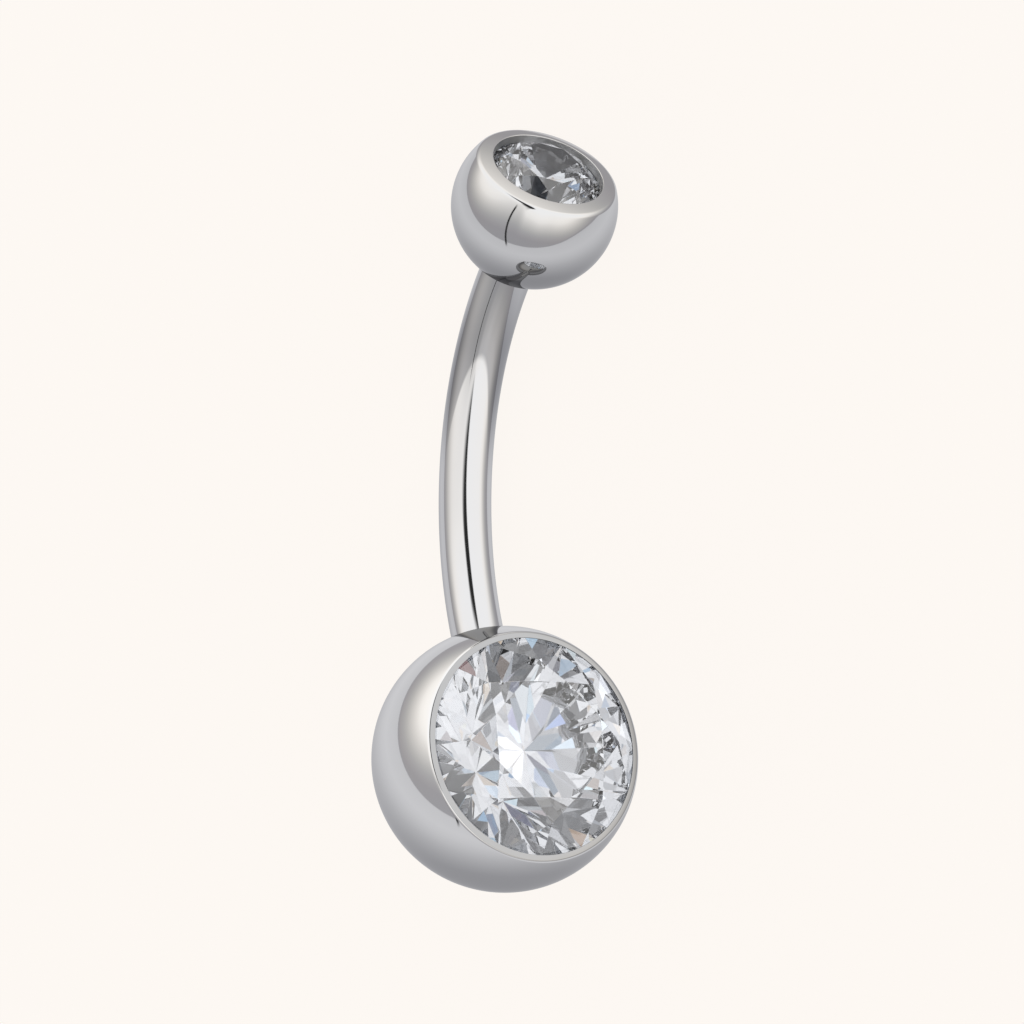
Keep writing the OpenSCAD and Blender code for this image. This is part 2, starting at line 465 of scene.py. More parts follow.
@dataclass(frozen=True)
class Steel:
    """Stainless steel, polished or left as it was cut.

    Its roughness varies by the spread, and its duller patches keep a dull share of its colour.
    Where a group paints a dark reflection on it, it turns to the shaded colour.
    """

    name: str
    colour: Colour
    roughness: float
    spread: float
    lines: float
    mark_height: float
    dull_share: float = 0.97
    shaded_colour: Colour = (0.08, 0.085, 0.11)

    def material(self, marks: bpy.types.NodeTree,
                 shading: bpy.types.NodeTree | None = None) -> bpy.types.Material:
        """Builds the finish.

        Args:
            marks: The group that gives polishing marks.
            shading: The group that gives the normal and the painted dark reflection, if any.

        Returns:
            A material of this name.
        """
        made, sheet, shader = new_material(self.name)
        place = sheet.place()
        worn = sheet.group(marks, Place=place, Roughness=self.roughness, Spread=self.spread,
                           Lines=self.lines)
        tone = sheet.smooth(worn.outputs["Roughness"], self.roughness - self.spread,
                            self.roughness + self.spread)
        dull = tuple(self.dull_share * part for part in self.colour)
        colour = sheet.mix(tone, self.colour, dull)
        shader.inputs["Metallic"].default_value = 1.0
        sheet.put(shader.inputs["Roughness"], worn.outputs["Roughness"])
        bump = sheet.add("Bump")
        bump.inputs["Strength"].default_value = 1.0
        bump.inputs["Distance"].default_value = self.mark_height * MM
        sheet.put(bump.inputs["Height"], worn.outputs["Height"])
        if shading:
            shaded = sheet.group(shading, Place=place)
            sheet.put(bump.inputs["Normal"], shaded.outputs["Normal"])
            # Painted dark reflection: the base colour turns to the shaded colour by the group's
            # share
            colour = sheet.mix(shaded.outputs["PaintedReflection"], colour, self.shaded_colour)
        sheet.put(shader.inputs["Base Color"], colour)
        sheet.put(shader.inputs["Normal"], bump.outputs["Normal"])
        return made


@dataclass(frozen=True)
class ClearCut:
    """Clear cut stone with polished facets."""

    name: str
    colour: Colour
    refraction: float
    haze: float
    cloud_scale: float = 0.8
    deep_share: float = 0.985
    wiped: tuple[float, float] = (0.56, 0.75)

    def material(self) -> bpy.types.Material:
        """Builds the finish.

        Returns:
            A material of this name.
        """
        made, sheet, shader = new_material(self.name)
        cloud = sheet.noise(sheet.place(), self.cloud_scale)
        deep = tuple(self.deep_share * part for part in self.colour)
        sheet.put(shader.inputs["Base Color"], sheet.mix(cloud, self.colour, deep))
        sheet.put(shader.inputs["Roughness"], sheet.smooth(cloud, *self.wiped, 0.0, self.haze))
        shader.inputs["IOR"].default_value = self.refraction
        shader.inputs["Transmission Weight"].default_value = 1.0
        return made


# Name, colour, roughness, its spread, strength of the marks and their height in millimetres
SMALL_BALL_POLISH = Steel("small_ball_polish", (0.706, 0.707, 0.712), 0.045, 0.03, 1.0, 0.00006)
LARGE_BALL_POLISH = Steel("large_ball_polish", (0.80, 0.80, 0.802), 0.045, 0.03, 1.0, 0.00006)
BROAD_RIM_POLISH = Steel("broad_rim_polish", (0.73, 0.72, 0.71), 0.06, 0.03, 1.0, 0.00008)
# Painted shade: a darker copy of the ball's polished steel on the large ball's narrow rim
SHADED_NARROW_RIM_POLISH = Steel("shaded_narrow_rim_polish", (0.46, 0.462, 0.468), 0.08, 0.03, 1.0, 0.00008)
WALL_SATIN = Steel("wall_satin", (0.60, 0.595, 0.59), 0.36, 0.05, 1.0, 0.0002)
# Painted shade: near black steel on the large ball's shallow inner wall, for the shadow gap round
# its stone
PAINTED_SHADE_WALL = Steel("painted_shade_wall", (0.07, 0.07, 0.072), 0.5, 0.1, 1.0, 0.0006)
PALE_SEAT = Steel("pale_seat", (0.76, 0.77, 0.79), 0.42, 0.05, 1.0, 0.0002)
GREY_SEAT = Steel("grey_seat", (0.26, 0.26, 0.27), 0.5, 0.1, 1.0, 0.0006)
BAR_POLISH = Steel("bar_polish", (0.70, 0.70, 0.71), 0.05, 0.03, 1.0, 0.00006)
THREAD_METAL = Steel("thread_metal", (0.62, 0.61, 0.60), 0.2, 0.08, 1.0, 0.0008)
STONE = ClearCut("clear_cut_stone", (0.995, 0.997, 1.0), 2.16, 0.012)


@dataclass(frozen=True)
class Workshop:
    """The plane of the ring in the frame, and the finishes that its pieces share."""

    centre: Vector
    front: Vector
    along: Vector
    half_bend: float
    bend_r: float
    finishes: dict[str, bpy.types.Material]

    @classmethod
    def from_record(cls, record: dict, bend_r: float) -> "Workshop":
        """Finds the ring's plane from the record's mount and joint.

        Args:
            record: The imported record.
            bend_r: Radius of the bend on the bar's centre line, in millimetres.

        Returns:
            A workshop with every finish made.
        """
        mount = next(m for m in record["mounts"] if m["name"] == "piercing")
        joint = next(j for j in record["behaviour"]["joints"] if j["name"] == "top_ball_unscrews")
        along = Vector(mount["axis"]).normalized()
        end = Vector(joint["axis"]).normalized()
        front = (end - end.dot(along) * along).normalized()
        marks = PolishMarks().group()
        steels = (SMALL_BALL_POLISH, LARGE_BALL_POLISH, BROAD_RIM_POLISH, SHADED_NARROW_RIM_POLISH,
                  WALL_SATIN, PAINTED_SHADE_WALL, PALE_SEAT, GREY_SEAT, THREAD_METAL)
        finishes = {steel.name: steel.material(marks) for steel in steels}
        centre = Vector(mount["pos_m"]) / MM + bend_r * front
        shading = UpperEnd().group(centre, along, front, bend_r)
        finishes[BAR_POLISH.name] = BAR_POLISH.material(marks, shading)
        finishes[STONE.name] = STONE.material()
        return cls(centre, front, along, along.angle(end), bend_r, finishes)

    def direction(self, lean: float) -> Vector:
        """Gives the direction of a lean, in the ring's plane."""
        return Vector((math.sin(lean), 0, math.cos(lean)))

    def on_bend(self, lean: float) -> Vector:
        """Gives the point of the bar's centre line at a lean."""
        return self.bend_r * Vector((-math.cos(lean), 0, math.sin(lean)))

    def finish(self, bm: bmesh.types.BMesh, name: str, node: str, body: Body,
               steels: Iterable[str]) -> bpy.types.Object:
        """Turns a mesh of the ring's plane into a piece of the frame.

        Args:
            bm: The mesh, in millimetres.
            name: Name of the piece.
            node: CAD node that it stands for.
            body: CAD body that it rides on.
            steels: Names of its finishes, in the order of its material indices.

        Returns:
            The piece.
        """
        rows = Matrix((self.front, self.along.cross(self.front), self.along)).transposed()
        placed = Matrix.Translation(self.centre) @ rows.to_4x4()
        bm.transform(Matrix.Scale(MM, 4) @ placed)
        mesh = bpy.data.meshes.new(name)
        bm.to_mesh(mesh)
        bm.free()
        piece = bpy.data.objects.new(name, mesh)
        bpy.context.scene.collection.objects.link(piece)
        for steel in steels:
            mesh.materials.append(self.finishes[steel])
        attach(piece, body.value)
        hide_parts(node)
        log.info("%s: %d faces, rides on %s, stands for %s", name, len(mesh.polygons),
                 body.value, node)
        return piece


# The ring


@dataclass(frozen=True)
class CurvedBar:
    """Bent rod with a plain peg at its lower end and a screw thread at its upper end.

    Sizes are in millimetres. A shoulder is the step from the rod to the peg or the thread, and
    the neck is the plain stretch before the thread. The thread is spun from a lead of so many
    pitches below the shoulder, with spare turns, so that both of its ends can be trimmed.
    """

    bar_d: float = 1.6
    shoulder_w: float = 0.2
    shoulder_edge: float = 0.065
    thread_pitch: float = 0.25
    thread_depth: float = 0.13
    thread_l: float = 1.23568
    neck_l: float = 0.08
    peg_l: float = 1.87561
    peg_edge: float = 0.08
    thread_lead: float = 1.5
    spare_turns: int = 2
    round_steps: int = 72
    bend_steps: int = 144
    edge_steps: int = 6

    @property
    def bar_r(self) -> float:
        """Radius of the rod."""
        return self.bar_d / 2

    @property
    def peg_r(self) -> float:
        """Radius of the peg and of the thread's crests."""
        return self.bar_r - self.shoulder_w

    @property
    def groove_r(self) -> float:
        """Radius at the bottom of the thread."""
        return self.peg_r - self.thread_depth

    def shoulder(self) -> list[ProfilePoint]:
        """Lists the rounded edge of a shoulder, from the rod's side to its end face."""
        edge = self.shoulder_edge
        turns = [math.pi / 2 * step / self.edge_steps for step in range(1, self.edge_steps + 1)]
        return [(self.bar_r - edge + edge * math.cos(a), edge * math.sin(a) - edge) for a in turns]

    def thread(self, place: Matrix) -> bmesh.types.BMesh:
        """Spins one tooth of the thread along its helix and trims both ends.

        Args:
            place: Placement of the bar's end, whose Z points out of the shoulder.

        Returns:
            The thread as an open shell, from its foot to its tip.
        """
        bm = bmesh.new()
        # Radius of each corner of a tooth, and its height as a share of the pitch
        tooth = [(self.groove_r, 0.0), (self.groove_r, 0.1), (self.peg_r, 0.42),
                 (self.peg_r, 0.58), (self.groove_r, 0.9), (self.groove_r, 1.0)]
        lead = self.thread_lead * self.thread_pitch
        verts = [bm.verts.new((radius, 0, share * self.thread_pitch - lead))
                 for radius, share in tooth]
        edges = [bm.edges.new(pair) for pair in zip(verts, verts[1:])]
        turns = math.ceil(self.thread_l / self.thread_pitch) + self.spare_turns
        steps = turns * self.round_steps
        bmesh.ops.spin(bm, geom=verts + edges, cent=(0, 0, 0), axis=UP,
                       angle=math.tau * turns, steps=steps,
                       dvec=(0, 0, self.thread_pitch / self.round_steps))
        bmesh.ops.remove_doubles(bm, verts=bm.verts, dist=MERGE)
        for height, way in ((self.neck_l, -1), (self.thread_l, 1)):
            bmesh.ops.bisect_plane(bm, geom=bm.verts[:] + bm.edges[:] + bm.faces[:], dist=MERGE,
                                   plane_co=(0, 0, height), plane_no=(0, 0, way),
                                   clear_outer=True)
        for vert in bm.verts:
            reach = math.hypot(vert.co.x, vert.co.y)
            allowed = self.groove_r + self.thread_l - self.thread_depth - vert.co.z
            if reach > allowed:
                bmesh.ops.scale(bm, vec=(allowed / reach, allowed / reach, 1), verts=[vert])
        bm.transform(place)
        return bm

    def add_thread(self, bm: bmesh.types.BMesh, neck: list[bmesh.types.BMEdge],
                   place: Matrix) -> None:
        """Joins the thread to the rod's neck and closes its tip.

        Args:
            bm: The mesh of the rod.
            neck: The ring of edges at the end of the neck.
            place: Placement of the bar's end, whose Z points out of the shoulder.
        """
        screw = self.thread(place)
        for face in screw.faces:
            face.material_index = Surface.RIM.value
        mesh = bpy.data.meshes.new("screw")
        screw.to_mesh(mesh)
        screw.free()
        known = set(bm.edges)
        bm.from_mesh(mesh)
        bpy.data.meshes.remove(mesh)
        into = place.inverted()
        foot, tip = [], []
        for edge in bm.edges:
            if edge not in known and len(edge.link_faces) == 1:
                upper = (into @ edge.verts[0].co).z > self.thread_l / 2
                (tip if upper else foot).append(edge)
        bmesh.ops.bridge_loops(bm, edges=neck + foot)
        capped(bm, tip, Surface.RIM)

    def build(self, shop: Workshop) -> bpy.types.Object:
        """Models the bar.

        Args:
            shop: Where the ring stands, and its finishes.

        Returns:
            The finished bar.
        """
        bm = bmesh.new()
        low = turned(-shop.half_bend, shop.on_bend(-shop.half_bend))
        start = bmesh.ops.create_circle(bm, radius=self.bar_r, segments=self.round_steps,
                                        matrix=low)["verts"]
        first = list(dict.fromkeys(edge for vert in start for edge in vert.link_edges))
        last = bmesh.ops.spin(bm, geom=start + first, cent=(0, 0, 0), axis=LATERAL,
                              angle=2 * shop.half_bend, steps=self.bend_steps)["geom_last"]
        high = turned(shop.half_bend, shop.on_bend(shop.half_bend))
        upper = [g for g in last if isinstance(g, bmesh.types.BMEdge)]
        steps = self.shoulder()
        neck = run_out(bm, upper, [*steps, (self.groove_r, 0.0), (self.groove_r, self.neck_l)],
                       high, Surface.OUTSIDE)
        for face in {f for e in neck for f in e.link_faces}:
            face.material_index = Surface.RIM.value
        down = low @ Matrix.Rotation(math.pi, 4, "X")
        peg = [(self.peg_r, 0.0), (self.peg_r, self.peg_l - self.peg_edge),
               (self.peg_r - self.peg_edge, self.peg_l)]
        foot = run_out(bm, first, [*steps, *peg], down, Surface.OUTSIDE)
        capped(bm, foot, Surface.OUTSIDE)
        self.add_thread(bm, neck, high)
        closed(bm)
        shade(bm)
        return shop.finish(bm, "bent_bar", "bar", Body.BARBELL,
                           (BAR_POLISH.name, THREAD_METAL.name))


@dataclass(frozen=True)
class RoundStone:
    """Round brilliant cut, made as a lapidary does, by grinding one facet after another.

    Shares are of the girdle's radius, and the girdle's own thickness is a share of its diameter.
    The blank is the cylinder that the facets are ground on. The edge is the width in millimetres
    of the bevel on each arris, where two facets meet.
    """

    name: str
    node: str
    body: Body
    radius: float
    table_share: float = 0.557
    crown_angle: float = math.radians(37.5)
    pavilion_angle: float = math.radians(41)
    girdle_share: float = 0.015
    lower_share: float = 0.77
    blank_share: float = 0.991
    edge: float = 0.005
    arris_turn: float = math.radians(2)
    girdle_slope: float = 0.1
    folds: int = 8
    blank_steps: int = 96

    @property
    def half_fold(self) -> float:
        """Angle between neighbouring corners of the cut."""
        return math.pi / self.folds

    @property
    def girdle_t(self) -> float:
        """Thickness of the girdle at its corners."""
        return 2 * self.radius * self.girdle_share

    @property
    def table_r(self) -> float:
        """Radius of the table's corners."""
        return self.radius * self.table_share

    @property
    def table_z(self) -> float:
        """Height of the table above the girdle."""
        return (self.radius - self.table_r) * math.tan(self.crown_angle)

    @property
    def star_r(self) -> float:
        """Radius of the corners where the stars end."""
        return self.table_r * (math.cos(self.half_fold) + math.sin(self.half_fold))

    @property
    def star_z(self) -> float:
        """Height of those corners above the girdle."""
        return (self.radius - self.star_r * math.cos(self.half_fold)) * math.tan(self.crown_angle)

    @property
    def lower_r(self) -> float:
        """Radius of the corners where the lower girdle facets end."""
        return self.radius * (1 - self.lower_share)

    @property
    def lower_z(self) -> float:
        """Depth of those corners below the girdle."""
        reach = self.radius - self.lower_r * math.cos(self.half_fold)
        return reach * math.tan(self.pavilion_angle)

    @property
    def crown_slope(self) -> float:
        """Slope of the crown just inside the girdle's corners."""
        return self.star_z / (self.radius - self.star_r)

    @property
    def lower_slope(self) -> float:
        """Slope of the pavilion just inside the girdle's corners."""
        return self.lower_z / (self.radius - self.lower_r)

    def point(self, radius: float, corner: float, height: float) -> Vector:
        """Gives a point of the cut from its radius, its corner number and its height."""
        angle = corner * self.half_fold
        return Vector((radius * math.cos(angle), radius * math.sin(angle), height))

    def facets(self) -> list[tuple[Vector, Vector, Vector]]:
        """Lists three points of every facet's plane.

        Returns:
            Table, kites, stars, upper girdle facets, lower girdle facets and mains.
        """
        r, table_r, table_z = self.radius, self.table_r, self.table_z
        top, bottom = 0.0, -self.girdle_t
        culet = Vector((0, 0, bottom - r * math.tan(self.pavilion_angle)))
        planes = [tuple(self.point(table_r, corner, table_z) for corner in (1, 5, 11))]
        for fold in range(self.folds):
            star, next_star = (self.point(self.star_r, 2 * fold + step, self.star_z)
                               for step in (0, 2))
            lower, next_lower = (self.point(self.lower_r, 2 * fold + step, bottom - self.lower_z)
                                 for step in (0, 2))
            planes.append((star, self.point(r, 2 * fold + 1, top), next_star))
            planes.append((self.point(table_r, 2 * fold - 1, table_z), star,
                           self.point(table_r, 2 * fold + 1, table_z)))
            planes.append((culet, next_lower, lower))
            for side in (-1, 1):
                planes.append((star, self.point(r, 2 * fold, top),
                               self.point(r, 2 * fold + side, top)))
                planes.append((lower, self.point(r, 2 * fold, bottom),
                               self.point(r, 2 * fold + side, bottom)))
        return planes

    def on_girdle(self, face: bmesh.types.BMFace) -> bool:
        """Tells the round girdle's faces from the facets."""
        return abs(face.normal.z) < self.girdle_slope

    def build(self, shop: Workshop, place: Matrix) -> bpy.types.Object:
        """Cuts the stone.

        Args:
            shop: Where the ring stands, and its finishes.
            place: Placement of the top of the girdle, with Z through the table.

        Returns:
            The finished stone.
        """
        bm = bmesh.new()
        bmesh.ops.create_cone(bm, cap_ends=True, segments=self.blank_steps, depth=2 * self.radius,
                              radius1=self.radius * self.blank_share,
                              radius2=self.radius * self.blank_share)
        middle = Vector((0, 0, -self.girdle_t / 2))
        for one, two, three in self.facets():
            normal = (two - one).cross(three - one).normalized()
            if normal.dot(one - middle) < 0:
                normal.negate()
            cut = bmesh.ops.bisect_plane(bm, geom=bm.verts[:] + bm.edges[:] + bm.faces[:],
                                         dist=MERGE / 2, plane_co=one, plane_no=normal,
                                         clear_outer=True)["geom_cut"]
            ring = [g for g in cut if isinstance(g, bmesh.types.BMEdge) and g.is_boundary]
            if ring:
                bmesh.ops.edgeloop_fill(bm, edges=ring)
        closed(bm)
        arrises = [e for e in bm.edges if e.calc_face_angle(0) > self.arris_turn
                   and not all(self.on_girdle(f) for f in e.link_faces)]
        bmesh.ops.bevel(bm, geom=arrises, offset=self.edge, offset_type="OFFSET", segments=1,
                        profile=0.5, affect="EDGES", material=-1, clamp_overlap=True)
        for face in bm.faces:
            face.smooth = self.on_girdle(face)
        bm.transform(place)
        return shop.finish(bm, self.name, self.node, self.body, (STONE.name,))


@dataclass(frozen=True)
class SetBall:
    """Ball cut off at a polished rim, with its stone's seat and the hole for the bar.

    Sizes are in millimetres, and heights are measured from the ball's centre along the stone's
    axis, which leans from the bar's own direction. The cut is the height of the cap taken off,
    and the rim rises from there to its opening, whose wall goes a rim's depth down to the stone.
    The stone reaches under the rim by its cover. The hole ends this side of the ball's centre, a
    distance along the bar from it.
    """

    name: str
    node: str
    body: Body
    end: End
    stone_lean: float
    ball_d: float
    cut: float
    rim_w: float
    rim_rise: float
    rim_depth: float
    rim_round: float
    lip_edge: float
    hole_end: float
    side: Steel
    rim: Steel
    wall: Steel
    inside: Steel
    wall_flare: float = 0.0
    thread_pitch: float = 0.0
    rim_cover: float = 0.1
    rim_start: float = 0.04
    stone_gap: float = 0.02
    shoulder_gap: float = 0.02
    hole_r: float = 0.63
    groove: float = 0.1
    bar_r: float = 0.8
    arc_steps: int = 100
    edge_steps: int = 12
    lip_steps: int = 5
    round_steps: int = 192

    @property
    def ball_r(self) -> float:
        """Radius of the ball."""
        return self.ball_d / 2

    @property
    def rim_z(self) -> float:
        """Height of the rim's outer edge."""
        return self.ball_r - self.cut

    @property
    def rim_r(self) -> float:
        """Radius of the rim's outer edge."""
        return math.sqrt(self.ball_r**2 - self.rim_z**2)

    @property
    def opening_r(self) -> float:
        """Radius of the rim's opening."""
        return self.rim_r - self.rim_w

    @property
    def rim_lean(self) -> float:
        """Slope of the rim's face, in radians."""
        return math.atan2(self.rim_rise, self.rim_w)

    @property
    def round_centre(self) -> Vector:
        """Centre of the rounding between the ball's side and the rim's face, on its section."""
        face = Vector((math.sin(self.rim_lean), 0, math.cos(self.rim_lean)))
        outward = Vector((math.cos(self.rim_lean), 0, -math.sin(self.rim_lean)))
        depth = face.dot(Vector((self.rim_r, 0, self.rim_z))) - self.rim_round
        reach = math.sqrt((self.ball_r - self.rim_round)**2 - depth**2)
        return depth * face + reach * outward

    @property
    def flat_z(self) -> float:
        """Distance from the ball's centre to the flat that the bar's shoulder meets."""
        return math.sqrt(self.ball_r**2 - self.bar_r**2)

    def cut_stone(self, name: str, node: str) -> RoundStone:
        """Chooses the stone that fits the rim's opening."""
        return RoundStone(name, node, self.body, self.opening_r + self.rim_cover)

    def girdle_z(self, stone: RoundStone) -> float:
        """Works out the height of its stone's girdle.

        Args:
            stone: The stone that the ball holds.

        Returns:
            Height of the top of the girdle above the ball's centre.
        """
        return (self.rim_z + self.rim_rise - self.rim_depth
                - self.clear_of(stone, self.opening_r))

    def clear_of(self, stone: RoundStone, radius: float) -> float:
        """Gives the height above the girdle at which metal clears the stone's crown.

        Args:
            stone: The stone that the ball holds.
            radius: Radius of the metal's edge.

        Returns:
            Height above the top of the girdle.
        """
        return (stone.radius - radius) * stone.crown_slope + self.stone_gap

    def seat(self, stone: RoundStone) -> list[ProfilePoint]:
        """Lists the profile of the seat, from the foot of the rim's wall down to its tip.

        Args:
            stone: The stone that the ball holds.

        Returns:
            Radius and height of each corner.
        """
        girdle = self.girdle_z(stone)
        foot_r = self.opening_r - self.wall_flare
        seat_r = stone.radius + self.stone_gap
        floor = girdle - stone.girdle_t - self.stone_gap
        return [(foot_r, girdle + self.clear_of(stone, foot_r)), (seat_r, girdle),
                (seat_r, floor), (0.0, floor - seat_r * stone.lower_slope)]

    def standing(self, shop: Workshop) -> tuple[Matrix, Matrix]:
        """Stands the ball on its end of the bar.

        Args:
            shop: Where the ring stands.

        Returns:
            Placement of the ball's centre with Z along the stone's axis, and with Z along the
            hole for the bar.
        """
        bar_lean = self.end.value * shop.half_bend
        reach = self.end.value * (self.flat_z + self.shoulder_gap)
        centre = shop.on_bend(bar_lean) + reach * shop.direction(bar_lean)
        hole_lean = bar_lean + (math.pi if self.end is End.UPPER else 0)
        return turned(bar_lean + self.stone_lean, centre), turned(hole_lean, centre)

    def build(self, shop: Workshop, stone: RoundStone, place: Matrix,
              out: Matrix) -> bpy.types.Object:
        """Models the ball.

        Args:
            shop: Where the ring stands, and its finishes.
            stone: The stone that the ball holds.
            place: Placement of the ball's centre, with Z along the stone's axis.
            out: Placement of the ball's centre, with Z along the hole for the bar.

        Returns:
            The finished ball.
        """
        bm = bmesh.new()
        pole = bm.verts.new((0, 0, -self.ball_r))
        middle = self.round_centre
        lean = math.atan2(middle.x, middle.z)
        last = bmesh.ops.spin(bm, geom=[pole], cent=(0, 0, 0), axis=-LATERAL,
                              angle=math.pi - lean, steps=self.arc_steps)["geom_last"][0]
        last = bmesh.ops.spin(bm, geom=[last], cent=middle, axis=-LATERAL,
                              angle=lean - self.rim_lean, steps=self.edge_steps)["geom_last"][0]
        seat = self.seat(stone)
        inner = (self.opening_r, self.rim_z + self.rim_rise)
        near = last.co.lerp(Vector((inner[0], 0, inner[1])), self.rim_start)
        for radius, height in [(near.x, near.z), inner, *seat]:
            following = bm.verts.new((radius, 0, height))
            bm.edges.new((last, following))
            last = following
        bmesh.ops.spin(bm, geom=bm.verts[:] + bm.edges[:], cent=(0, 0, 0), axis=UP,
                       angle=math.tau, steps=self.round_steps, use_merge=True)
        closed(bm)
        self.dress(bm, seat[0][1])
        lip = [e for e in bm.edges if on_ring(e, *inner)]
        bmesh.ops.bevel(bm, geom=lip, offset=self.lip_edge, offset_type="OFFSET",
                        segments=self.lip_steps, profile=0.5, affect="EDGES", material=-1,
                        clamp_overlap=True)
        bm.transform(place)
        self.bore(bm, out)
        bmesh.ops.recalc_face_normals(bm, faces=bm.faces)
        shade(bm)
        return shop.finish(bm, self.name, self.node, self.body,
                           (self.side.name, self.rim.name, self.inside.name, self.wall.name))

    def dress(self, bm: bmesh.types.BMesh, wall_z: float) -> None:
        """Gives the faces of the rim, of its inner wall and of the seat their own finishes.

        Args:
            bm: The mesh of the ball, with the stone's axis along Z.
            wall_z: Height of the wall's foot.
        """
        for face in bm.faces:
            middle = face.calc_center_median()
            outward = middle.x * face.normal.x + middle.y * face.normal.y > 0
            if outward:
                surface = Surface.RIM if middle.z > self.rim_z else Surface.OUTSIDE
            else:
                surface = Surface.WALL if middle.z > wall_z else Surface.INSIDE
            face.material_index = surface.value

    def bore(self, bm: bmesh.types.BMesh, out: Matrix) -> None:
        """Cuts the flat for the bar's shoulder and sinks the hole, with its thread if it has one.

        Args:
            bm: The mesh of the ball in the ring's plane.
            out: Placement of the ball's centre, with Z along the hole.
        """
        cut = bmesh.ops.bisect_plane(bm, geom=bm.verts[:] + bm.edges[:] + bm.faces[:],
                                     dist=MERGE, plane_co=out @ Vector((0, 0, self.flat_z)),
                                     plane_no=out.to_3x3() @ UP, clear_outer=True)["geom_cut"]
        ring = [g for g in cut if isinstance(g, bmesh.types.BMEdge) and g.is_boundary]
        steps = [(self.hole_r, self.flat_z)]
        depth = self.flat_z - self.hole_end
        if self.thread_pitch:
            wall = self.hole_r + self.groove
            groove = ((self.hole_r, 0.0), (wall, 0.35), (wall, 0.5), (self.hole_r, 0.85))
            for turn in range(int(depth / self.thread_pitch) - 1):
                top = self.flat_z - (turn + 0.5) * self.thread_pitch
                steps += [(radius, top - share * self.thread_pitch) for radius, share in groove]
        steps.append((self.hole_r, self.hole_end))
        capped(bm, run_out(bm, ring, steps, out, Surface.INSIDE), Surface.INSIDE)


# The studio


@dataclass(frozen=True)
class Patch:
    """A round soft light or a round dark flag on the sky, with its angles in degrees."""

    azimuth: float
    elevation: float
    radius: float
    edge: float
    light: float

    def mask(self, sheet: Sheet, direction: bpy.types.NodeSocket) -> bpy.types.NodeSocket:
        """Tells directions in the patch from those round it.

        Args:
            sheet: The node tree being built.
            direction: The direction to look in.

        Returns:
            One inside the patch and zero outside it, with a soft edge.
        """
        around, above = math.radians(self.azimuth), math.radians(self.elevation)
        aim = (math.cos(above) * math.cos(around), math.cos(above) * math.sin(around),
               math.sin(above))
        return sheet.smooth(sheet.dot(direction, aim),
                            math.cos(math.radians(self.radius + self.edge)),
                            math.cos(math.radians(self.radius - self.edge)))


@dataclass(frozen=True)
class Seam:
    """A dark seam between two cloths of the tent, on a plane through the sky.

    The two stops say where along its way the seam starts to show and where it shows in full.
    """

    normal: Direction
    offset: float
    half_width: float
    way: Direction
    stops: tuple[float, float]
    softness: float = 0.014

    def mask(self, sheet: Sheet, direction: bpy.types.NodeSocket) -> bpy.types.NodeSocket:
        """Tells directions on the seam from those beside it.

        Args:
            sheet: The node tree being built.
            direction: The direction to look in.

        Returns:
            One on the seam and zero beside it, with a soft edge.
        """
        off = sheet.math("ABSOLUTE", sheet.math(
            "SUBTRACT", sheet.dot(direction, Vector(self.normal).normalized()), self.offset))
        line = sheet.smooth(off, self.half_width, self.half_width + self.softness, 1.0, 0.0)
        shown = sheet.smooth(sheet.dot(direction, self.way), *self.stops)
        return sheet.math("MULTIPLY", line, shown)


